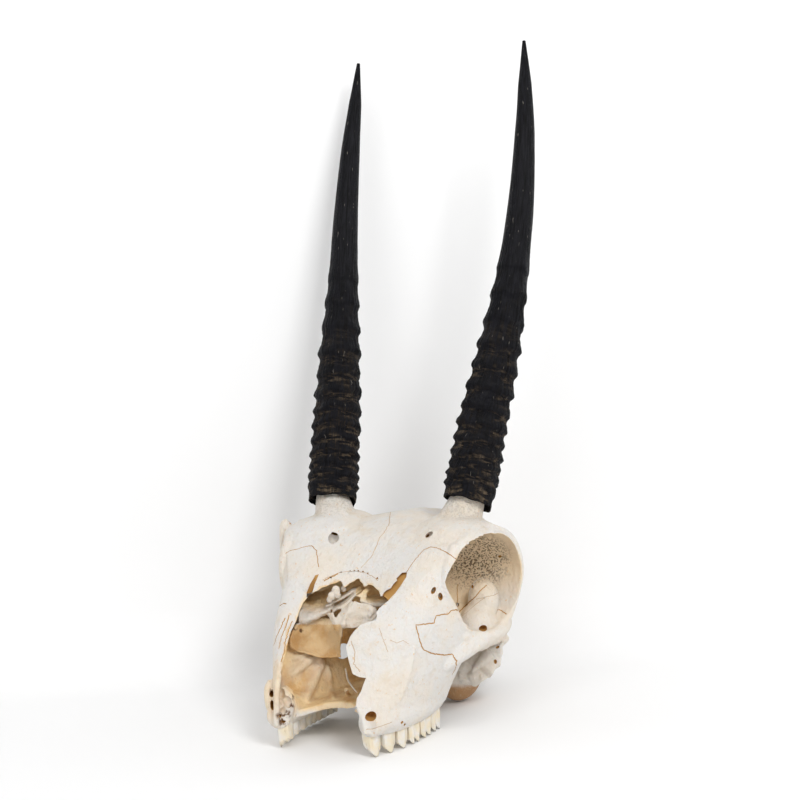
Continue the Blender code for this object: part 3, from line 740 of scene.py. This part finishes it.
# Patchy dark brown painted as shade in and around the holes.
base = bone.mixed(base, HOLE_SHADE_BROWN, bone.patches(0.40, 0.55, where, 600.0, 3.0) * bone.own("hole_shade"))
bone.surface(Base_Color=base, Roughness=0.6, Specular_IOR_Level=0.3,
             Subsurface_Weight=0.1, Subsurface_Radius=(0.004, 0.0025, 0.0015), Subsurface_Scale=0.5)
bone.relief((bone.cloud(where, 1100.0, 6.0, 0.7), 0.00045), (grain, 0.00025),
            (bone.cloud(where, 200.0, 5.0), 0.0012), (1.0 - worms, 0.0007))
for material, colour in ((stain_and_hole_shading, SEAM_BROWN), (faint, CLOSED_SEAM)):
    Finish(material).surface(Base_Color=colour, Roughness=0.8, Specular_IOR_Level=0.2)


def measured(piece, what="co"):
    """Where the piece's points lie in the skull's millimetres, or the direction each faces."""
    values = np.empty(len(piece.data.vertices) * 3, dtype=np.float32)
    if what == "co":
        piece.data.vertices.foreach_get("co", values)
        return values.reshape(-1, 3) / MM - np.array(FORWARD)
    piece.data.vertex_normals.foreach_get("vector", values)
    return values.reshape(-1, 3)


def within(points, centre, radii, edge):
    """1 inside an upright egg and 0 outside, with a passage of the given share of its size."""
    away = np.sqrt((((points - np.array(centre)) / np.array(radii)) ** 2).sum(axis=1))
    return np.clip((1.0 + edge - away) / edge, 0.0, 1.0)


def facing(points, normals, centre):
    """1 where the surface looks towards a point, 0 where it looks away."""
    towards = np.array(centre) - points
    towards /= np.linalg.norm(towards, axis=1, keepdims=True)
    return np.clip((towards * normals).sum(axis=1) * 3.0 + 0.2, 0.0, 1.0)


def met(column, row):
    """The place on the skull's surface at a pixel, in its own millimetres."""
    return np.array(struck(outside, column, row)) / MM - np.array(FORWARD)


def stored(piece, name, values):
    """Keeps a value for each of the piece's points, for its material."""
    piece.data.attributes.new(name, "FLOAT", "POINT").data.foreach_set("value", values.astype(np.float32))


# Spots of painted shade at the holes and pits of the far jaw's broken end and on the scroll: column, row and
# radius in millimetres.
SHADED_HOLES = ((283, 721, 1.3), (279.5, 716, 1.1), (288, 713.5, 1.0), (291, 706, 0.8), (292.5, 697, 0.7),
          (285.5, 717, 0.9), (272, 690, 0.6), (281, 684, 0.5), (301.4, 630.6, 0.8), (295.4, 628.4, 0.7))
points = measured(skull)
normals = measured(skull, "normal")
middle = np.column_stack((points[:, 0] * 0.0, np.clip(points[:, 1], -100, -75), points[:, 0] * 0.0 + 30.0))
# The depth share marks where that warm light is painted: on walls facing the nose's middle, less on the jaw
# ridges, and on the nasal floor and the far jaw's inner side.
depth = within(points, (-2, -88, 26), (24, 28, 24), 0.12) * facing(points, normals, middle)
for line, width in JAW_RIDGES:
    ridge = [met(*place) for place in line]
    for start, end in zip(ridge, ridge[1:]):
        for share in (0.0, 0.25, 0.5, 0.75):
            depth *= 1.0 - 0.09 * within(points, start + (end - start) * share, (width,) * 3, 1.6)
depth = np.maximum(depth, within(points, (0, -100, 13.5), (15, 13, 3.2), 0.3) * 0.75)
depth = np.maximum(depth, within(points, (-18.5, -113.5, 19), (4, 5, 8), 0.5) * 0.45)
socket = points[:, 0] * 0.0
porous = socket.copy()
ear = socket.copy()
pore_middle = met(475, 551)
for side in (1, -1):
    hollow = within(points, (34 * side, -68, 48), (21.5, 18.5, 17.4), 0.08)
    hollow *= facing(points, normals, (38 * side, -69, 47))
    roof = np.maximum((points[:, 2] - 34.0) / 14.0, (28.5 - points[:, 0] * side) / 4.0)
    socket = np.maximum(socket, hollow * np.clip(roof, 0.25, 1.0))
    pore_centre = pore_middle * np.array((side, 1, 1))
    porous = np.maximum(porous, hollow * within(points, pore_centre, (7, 7, 8), 0.9))
    core = within(points, (25.6 * side, -61.5, 69.5), (8, 8, 4.5), 0.4)
    porous = np.maximum(porous, core * 0.2)
    socket = np.maximum(socket, core * 0.2)
    ear = np.maximum(ear, within(points, (10.5 * side, -47.5, 3.0), (8.6, 11, 5.2), 0.3) * 0.9)
shade_in_holes = ear * 0.0
for column, row, radius in SHADED_HOLES:
    shade_in_holes = np.maximum(shade_in_holes, within(points, met(column, row), (radius,) * 3, 0.5))
stored(skull, "depth", depth)
stored(skull, "socket", socket)
stored(skull, "porous", porous)
stored(skull, "ear", ear)
stored(skull, "hole_shade", shade_in_holes)
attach(skull, "root")
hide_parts("cranium")


# What is left inside the nose: thin scrolls of bone, broken to shards, with knobs and a thin splinter.
# Rows of corners across each leaf are in pixels of the photo, with millimetres behind the lens.
LEAVES = (
    (((309, 596, 563), (320, 590, 562), (334, 587, 561), (346, 589, 560)),
     ((304, 602, 557), (316, 602.5, 558), (328, 602, 558), (341, 598, 557)),
     ((299, 612, 551.5), (309, 611, 553.5), (322, 608, 554), (335, 604, 553)),
     ((297.6, 620.6, 549.5), (307, 621, 550), (317, 615, 551), (331, 610, 551)),
     ((300, 623.4, 551.5), (309, 622.6, 552.5), (319, 617, 553), (332, 612.5, 553))),
    (((325, 606.5, 550.5), (338, 601, 549.5), (349, 593.5, 549), (361, 587, 551)),
     ((328, 603, 556), (341, 597, 555), (351, 590, 555), (360, 585, 556))),
    (((332, 612.5, 549), (343, 606.5, 547), (352, 598.5, 547), (362, 590, 549)),
     ((335, 606, 555), (344, 600, 553), (353, 594, 553), (361, 588, 554))),
    (((346.5, 600, 550), (353.6, 602.4, 546)),
     ((340.4, 612, 547), (348, 614.6, 544.5)),
     ((335, 620, 546), (343, 627, 543.5)),
     ((334.6, 628, 546), (342.6, 637, 543.5))),
    (((327, 613, 548), (332.5, 612, 546)),
     ((331, 621, 547), (336.6, 620, 545.5)),
     ((334.4, 629.6, 546.5), (340.6, 631.6, 545))),
    (((354.7, 597.2, 543.5), (363, 590.6, 545), (370.6, 587.4, 547)),
     ((366, 598, 543.5), (367.6, 593.6, 544.5), (370.4, 589, 546))),
    (((369, 597, 552), (376, 596, 552), (383, 597, 551)),
     ((358.6, 598.4, 543), (371, 603.6, 543), (388.6, 601.6, 543)),
     ((361, 601, 541.5), (373, 606.6, 541.5), (386, 606.8, 541.5))),
    (((354, 601.2, 540), (365, 603.6, 540), (376, 607.6, 540)),
     ((347.4, 611, 539), (361, 612.6, 539.5), (377, 613.6, 539.5)),
     ((341, 621, 538.5), (352, 622.4, 539), (376, 619.5, 539.5)),
     ((343.6, 628.4, 539), (352, 627.6, 539), (363, 625, 539.5))),
    (((296, 624, 550.5), (312, 619, 555), (328, 617, 556), (341, 622, 552)),
     ((290, 635, 548.5), (308, 633, 554.5), (326, 633, 555.5), (341.5, 636, 550.5)),
     ((288.6, 645, 548), (304, 648, 555), (322, 650, 555), (340.5, 647, 551)),
     ((289.5, 647.6, 548), (301, 652, 551), (324, 658, 550), (341.4, 658, 552))),
)
KNOBS = ((336, 590.6, 548, 1.5), (331.6, 596, 548, 1.3), (337.6, 595, 547, 1.1),
         (329.4, 599.6, 548.5, 1.0), (343.5, 588.6, 550, 1.0), (372, 610.6, 538.6, 1.1),
         (369.8, 614.6, 538.6, 0.8), (343.5, 624.6, 538.5, 1.0))
SPLINTER = ((345.4, 668, 541), (346.8, 675, 540.5), (348.4, 681, 540), (352.4, 687, 539.5),
            (357.4, 693, 539))
LEAF_VOXEL = 0.24
LEAF_TRIANGLES = 90000
leaves = [plate(rows, 0.75, place=seen, crumple=0.45) for rows in LEAVES]
for column, row, away, radius in KNOBS:
    middle = on_skull(seen((column, row, away)))
    leaves.append(egg(middle, (radius, radius * 0.8, radius * 1.1)))
leaves.append(rod(sighted(SPLINTER), (0.25, 0.35, 0.35, 0.3, 0.25)))
scrolls = fused("nose_scrolls_bone", leaves, LEAF_VOXEL)
finished(scrolls, "SMOOTH", factor=0.5, iterations=2)
finished(scrolls, "DECIMATE", ratio=LEAF_TRIANGLES / (2 * len(scrolls.data.polygons)))
scrolls.data.shade_smooth()
points = ((measured(scrolls) + np.array(FORWARD)) * MM - np.array(EYE)) @ np.array(CAMERA_TURN)
away = -points[:, 2] / MM
column = PHOTO_SIDE / 2 - points[:, 0] / points[:, 2] * PIXELS
row = PHOTO_SIDE / 2 + points[:, 1] / points[:, 2] * PIXELS
# The scrolls take more of the painted warm light the further they lie behind the lens, counted from a set
# distance in each region.
start = np.where(column > 356, np.where(row < 603, 540.5, 544.0), np.where(row > 624.5, 540.0, 551.0))
stored(scrolls, "depth", np.clip((away - start) / 5.0, 0.05, 0.95))
# Painted shade round two holes in the scroll.
holes = np.minimum(np.hypot(column - 301.4, row - 630.6), np.hypot(column - 295.4, row - 628.4))
stored(scrolls, "hole_shade", np.clip(2.6 - holes, 0.0, 1.0))
stored(scrolls, "ear", np.where((row > 624.5) & (column < 350), 0.25, 0.0))
for name in ("socket", "porous"):
    stored(scrolls, name, away * 0.0)
scrolls.data.materials.clear()
scrolls.data.materials.append(bone.material)
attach(scrolls, "root")


# Twelve cheek teeth, three premolars and three molars a side, standing in the jaw. Each is ivory enamel
# over a worn crown, with ribs down its outer side, two points on a molar, and hollows between them.
ENAMEL = (0.79, 0.69, 0.51, 1.0)
TARTAR = (0.42, 0.27, 0.13, 1.0)
TOOTH_AROUND = 72
TOOTH_UP = 18
TOOTH_IN = 12
TOOTH_GAP = 0.55
TOOTH_LEAN = 2.8
NECK_HEIGHT = 8.4
CUSP_DEPTH = 2.1
CROWN_HOLLOW = 1.6
FLAT_ENDS = 1.12
UNEVENNESS = 0.03
TOOTH_WELD = 0.000004
# Each tooth's name, its length and width, how far it stands inwards, and its number of points.
TOOTH_SIZES = (
    ("premolar_2", 5.4, 4.6, 1.3, 1), ("premolar_3", 5.7, 5.4, 0.5, 1), ("premolar_4", 5.7, 6.0, 0.1, 1),
    ("molar_1", 7.0, 6.3, 0.0, 2), ("molar_2", 7.6, 6.3, 0.0, 2), ("molar_3", 7.2, 6.0, 0.0, 2),
)

enamel = Finish(bpy.data.materials.new("tooth_enamel"))
where = enamel.place()
base = enamel.mixed(ENAMEL, CHALK, enamel.patches(0.4, 0.7, where, 260.0))
streaks = enamel.patches(0.55, 0.8, enamel.stretched(where, (1.0, 1.0, 0.25)), 900.0, 4.0) * 0.6
base = enamel.mixed(base, TARTAR, streaks * enamel.own("furrow"))
enamel.surface(Base_Color=base, Roughness=0.38, Coat_Weight=0.2, Coat_Roughness=0.3,
               Subsurface_Weight=0.15, Subsurface_Radius=(0.003, 0.002, 0.0015), Subsurface_Scale=0.4)
enamel.relief((enamel.cloud(where, 1400.0, 3.0), 0.00008))


def crown_outline(along, lobes, outer):
    """Half the tooth's width at a place along it, as a share, with ribs outside and lobes inside."""
    phase = (along + 1) / 2 * lobes
    lobe = abs(math.sin(math.pi * phase))
    if outer:
        return 0.72 + 0.06 * abs(math.cos(math.pi * phase)) ** 6 + 0.26 * lobe ** 2
    return 0.58 + 0.42 * lobe ** 0.6


def closed(piece, places, merge, material):
    """Shapes a grid to a tube over the places, joins its long edges, and fills its open ends."""
    for corner, there in zip(piece.data.vertices, places):
        corner.co = there
    finished(piece, "WELD", merge_threshold=merge)
    shape = bmesh.new()
    shape.from_mesh(piece.data)
    bmesh.ops.holes_fill(shape, edges=[edge for edge in shape.edges if edge.is_boundary], sides=0)
    bmesh.ops.recalc_face_normals(shape, faces=shape.faces)
    shape.to_mesh(piece.data)
    shape.free()
    piece.data.shade_smooth()
    piece.data.materials.append(material)


whole =sum(length for _, length, _, _, _ in TOOTH_SIZES)
passed = 0.0
for name, length, width, inset, lobes in TOOTH_SIZES:
    passed += length
    for side, word in ((1, "left"), (-1, "right")):
        row = [Vector((x, y, 0.0)) for x, y in TOOTH_ROWS[side]]
        front = blend(row, (passed - length) / whole)
        rear = blend(row, passed / whole)
        onward = (rear - front).normalized()
        outward = Vector((onward.y, -onward.x, 0.0))
        middle = (front + rear) / 2 - outward * inset
        span = ((rear - front).length - TOOTH_GAP) / 2
        half = width / 2
        levels = [("wall", k / TOOTH_UP) for k in range(TOOTH_UP + 1)]
        levels += [("crown", 1 - k / TOOTH_IN) for k in range(1, TOOTH_IN)]
        tooth = grid(TOOTH_AROUND + 1, len(levels))
        tooth.name = tooth.data.name = word + "_" + name + "_enamel"
        furrows = []
        points = []
        seed = Vector((passed, side * 4.0, 2.0))
        for stage, share in levels:
            for k in range(TOOTH_AROUND + 1):
                angle = 2 * math.pi * k / TOOTH_AROUND
                along = max(-1.0, min(1.0, math.cos(angle) * FLAT_ENDS))
                outer = math.sin(angle) > 0
                wide = crown_outline(along, lobes, outer) * min(1.0, abs(math.sin(angle)) * 2.4) ** 0.7
                across = wide if outer else -wide
                inward = share if stage == "crown" else 1.0
                phase = (along * inward + 1) / 2 * lobes
                cusp = abs(math.sin(math.pi * phase)) ** 0.75
                rim = CUSP_DEPTH / lobes ** 0.5 * (1 - cusp) + TOOTH_LEAN * (1 - across) / 2
                if stage == "wall":
                    height = NECK_HEIGHT + (rim - NECK_HEIGHT) * share
                    belly = 0.90 + 0.10 * math.sin(math.pi * min(1.0, 0.15 + share * 0.8))
                else:
                    hollow = CROWN_HOLLOW * (1 - abs(inward)) ** 0.7
                    hollow *= 0.6 + 0.4 * math.cos(across * inward * 9.0)
                    height = rim * inward + TOOTH_LEAN / 2 * (1 - inward) + hollow
                    belly = inward
                wobble = noise.noise(Vector((along * 3, across * 3, height * 0.5)) + seed)
                belly *= 1.0 + UNEVENNESS * wobble
                there = middle + onward * span * along * belly + outward * half * across * belly
                points.append(spot((there.x, there.y, height), side))
                furrows.append(1.0 if stage == "crown" else max(0.0, 1.0 - wide) * 2.0)
        stored(tooth, "furrow", np.array(furrows))
        closed(tooth, points, TOOTH_WELD, enamel.material)
        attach(tooth, "root")
        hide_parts(word + "_" + name)


# The black horn sheaths: ringed below, smooth and polished above, hollow at the rim.
# Each is a tube round the horn's curve, with its rings and fibres raised in the surface,
# and its lowest edge is turned inwards to a bore that leaves the bony core loose in it.
BLACK = (0.003, 0.003, 0.0035, 1.0)
BLUE_BLACK = (0.009, 0.009, 0.012, 1.0)
DRY_BROWN = (0.034, 0.026, 0.019, 1.0)
CRUST_TAN = (0.14, 0.105, 0.07, 1.0)
CHIP_GREY = (0.22, 0.20, 0.17, 1.0)
HORN_RADII = (8.0, 7.5, 6.5, 5.2, 4.4, 3.4, 2.3, 0.55)
HORN_BOTTOM = 71.2
HORN_TOP = 223.9
HORN_AROUND = 128
HORN_STATIONS = 460
BORE_STATIONS = 24
BORE_TOP = 150.0
SHEATH_WALL = 0.9
SHEATH_WELD = 0.000002
RING_HEIGHTS = (75.0, 78.2, 81.4, 85.4, 90.0, 95.0, 100.0, 106.0, 113.0, 120.0, 128.0, 137.0, 146.0)
RING_STRENGTHS = (0.6, 0.8, 0.7, 0.9, 0.8, 0.95, 0.85, 1.0, 0.85, 1.0, 0.9, 0.75, 0.4)
RING_STAND = 1.3
RING_PITCH = 3.2
RING_PITCH_GROWTH = 0.42
RIM_DROP_REAR = 1.4
RIM_DROP_SIDE = 0.7
RIM_REACH = 13.0
FIBRES_TOP = 172.0
FIBRES_FADE = 60.0
VALLEY_TOP = 130.0
VALLEY_FADE = 30.0
POLISH_HEIGHT = 101.0
POLISH_SPREAD = 12.0

keratin = Finish(bpy.data.materials.new("black_horn"))
strands = keratin.own("strands", "Vector")
height = keratin.node("SeparateXYZ", {}, "Z", _0=strands)
fibres = keratin.cloud(keratin.stretched(strands, (2.2, 2.2, 0.10)), 1.0, 5.0, 0.65)
low = keratin.step(height, 150.0, 110.0)
valley = keratin.own("valley")
polish = keratin.own("polish")
base = keratin.mixed(BLUE_BLACK, BLACK, keratin.step(fibres, 0.35, 0.65))
brown = keratin.patches(0.45, 0.70, keratin.stretched(strands, (0.25, 0.25, 0.4)), 1.0, 3.0, 0.6)
streaks = keratin.step(fibres, 0.42, 0.62)
base = keratin.mixed(base, DRY_BROWN, brown * low * streaks * (1.0 - polish) * 0.8)
crust = keratin.patches(0.48, 0.62, keratin.stretched(strands, (0.22, 0.22, 0.9)), 1.0, 4.0, 0.65)
base = keratin.mixed(base, CRUST_TAN, crust * valley * (streaks * 0.6 + 0.4) * (1.0 - polish))
chips = keratin.patches(0.70, 0.75, keratin.stretched(strands, (1.6, 1.6, 0.35)), 1.0, 2.0)
base = keratin.mixed(base, CHIP_GREY, chips * 0.6)
dull = keratin.step(fibres, 0.2, 0.8) * 0.25 + low * 0.25 + 0.25
keratin.surface(Base_Color=base, Roughness=dull * (1.0 - polish * 0.6), Specular_IOR_Level=0.08)
keratin.relief((fibres, 0.0004), (crust * valley, 0.0004))


def horn_station(height):
    """Middle, direction and radius of the left horn at a height."""
    along = (horn_middle(height + 1.0) - horn_middle(height - 1.0)).normalized()
    radius = float(np.interp(height, [point[2] for point in HORN_PATH], HORN_RADII))
    return horn_middle(height), along, radius


def ring_swell(height):
    """How far the rings stand out: each rises steeply at its lower edge and fades upwards."""
    swell = 0.0
    for i, (ring, strength) in enumerate(zip(RING_HEIGHTS, RING_STRENGTHS)):
        pitch = RING_PITCH + i * RING_PITCH_GROWTH
        width = pitch * (0.16 if height < ring else 0.40)
        swell += strength * math.exp(-((height - ring) / width) ** 2)
    return swell * RING_STAND


for side, word in ((1, "left"), (-1, "right")):
    seed = Vector((side * 31.0, 7.0, 3.0))
    levels = [(BORE_TOP + (HORN_BOTTOM - BORE_TOP) * i / BORE_STATIONS, False)
              for i in range(BORE_STATIONS)]
    levels += [(HORN_BOTTOM + (HORN_TOP - HORN_BOTTOM) * i / (HORN_STATIONS - 1), True)
               for i in range(HORN_STATIONS)]
    sheath = grid(HORN_AROUND + 1, len(levels))
    sheath.name = sheath.data.name = "horn_sheath_" + word + "_keratin"
    places = []
    grain = []
    valley = []
    polish = []
    for height, outside in levels:
        middle, along, radius = horn_station(height)
        sideways = along.cross(Vector((0, 1, 0))).normalized()
        forwards = sideways.cross(along)
        low = max(0.0, min(1.0, (FIBRES_TOP - height) / FIBRES_FADE))
        valley_share = max(0.0, min(1.0, (VALLEY_TOP - height) / VALLEY_FADE))
        polish_share = math.exp(-((height - POLISH_HEIGHT) / POLISH_SPREAD) ** 2)
        rim = max(0.0, 1.0 - (height - HORN_BOTTOM) / RIM_REACH)
        for k in range(HORN_AROUND + 1):
            angle = 2 * math.pi * k / HORN_AROUND
            about = Vector((math.cos(angle), math.sin(angle), 0.0))
            drop = RIM_DROP_REAR * max(0.0, about.y) + RIM_DROP_SIDE * max(0.0, -about.x)
            drop = (drop + 0.5 * noise.noise(about * 2.2 + seed)) * rim
            swell = 1.0
            if outside:
                wander = noise.noise(about * 1.3 + seed + Vector((0, 0, height * 0.05))) * 2.2
                swell = ring_swell(height + wander) * radius / 8.0
                swell *= 1.0 + 0.35 * noise.noise(about * 2.5 + seed + Vector((0, 0, height * 0.1)))
                fibre = noise.noise(about * 10.0 + Vector((0, 0, height * 0.06)) + seed) * 0.30 * low
                fine = noise.noise(about * 24.0 + Vector((0, 0, height * 0.15)) + seed) * 0.18
                flake = noise.noise(about * 3.0 + Vector((0, 0, height * 0.9)) + seed) * 0.22 * low
                reach = radius + swell + fibre + fine * (0.25 + low) + flake
            else:
                reach = max(radius - SHEATH_WALL, 0.4) * min(1.0, (BORE_TOP + 3.0 - height) / 12.0)
            out = sideways * math.cos(angle) + forwards * math.sin(angle)
            places.append(spot(middle + out * reach - along * drop, side))
            grain.append((about.x * radius, about.y * radius, height))
            valley.append(max(0.0, min(1.0, 1.0 - swell * 1.2)) * valley_share)
            turn = math.hypot(about.x + 0.35, about.y + 0.9)
            polish.append(max(0.0, min(1.0, 1.6 - turn * 2.2)) * polish_share)
    strands = sheath.data.attributes.new("strands", "FLOAT_VECTOR", "POINT")
    strands.data.foreach_set("vector", np.array(grain, dtype=np.float32).ravel())
    stored(sheath, "valley", np.array(valley))
    stored(sheath, "polish", np.array(polish) * (1.0 if side > 0 else 0.25))
    closed(sheath, places, SHEATH_WELD, keratin.material)
    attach(sheath, "root")
    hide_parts("horn_sheath_" + word)
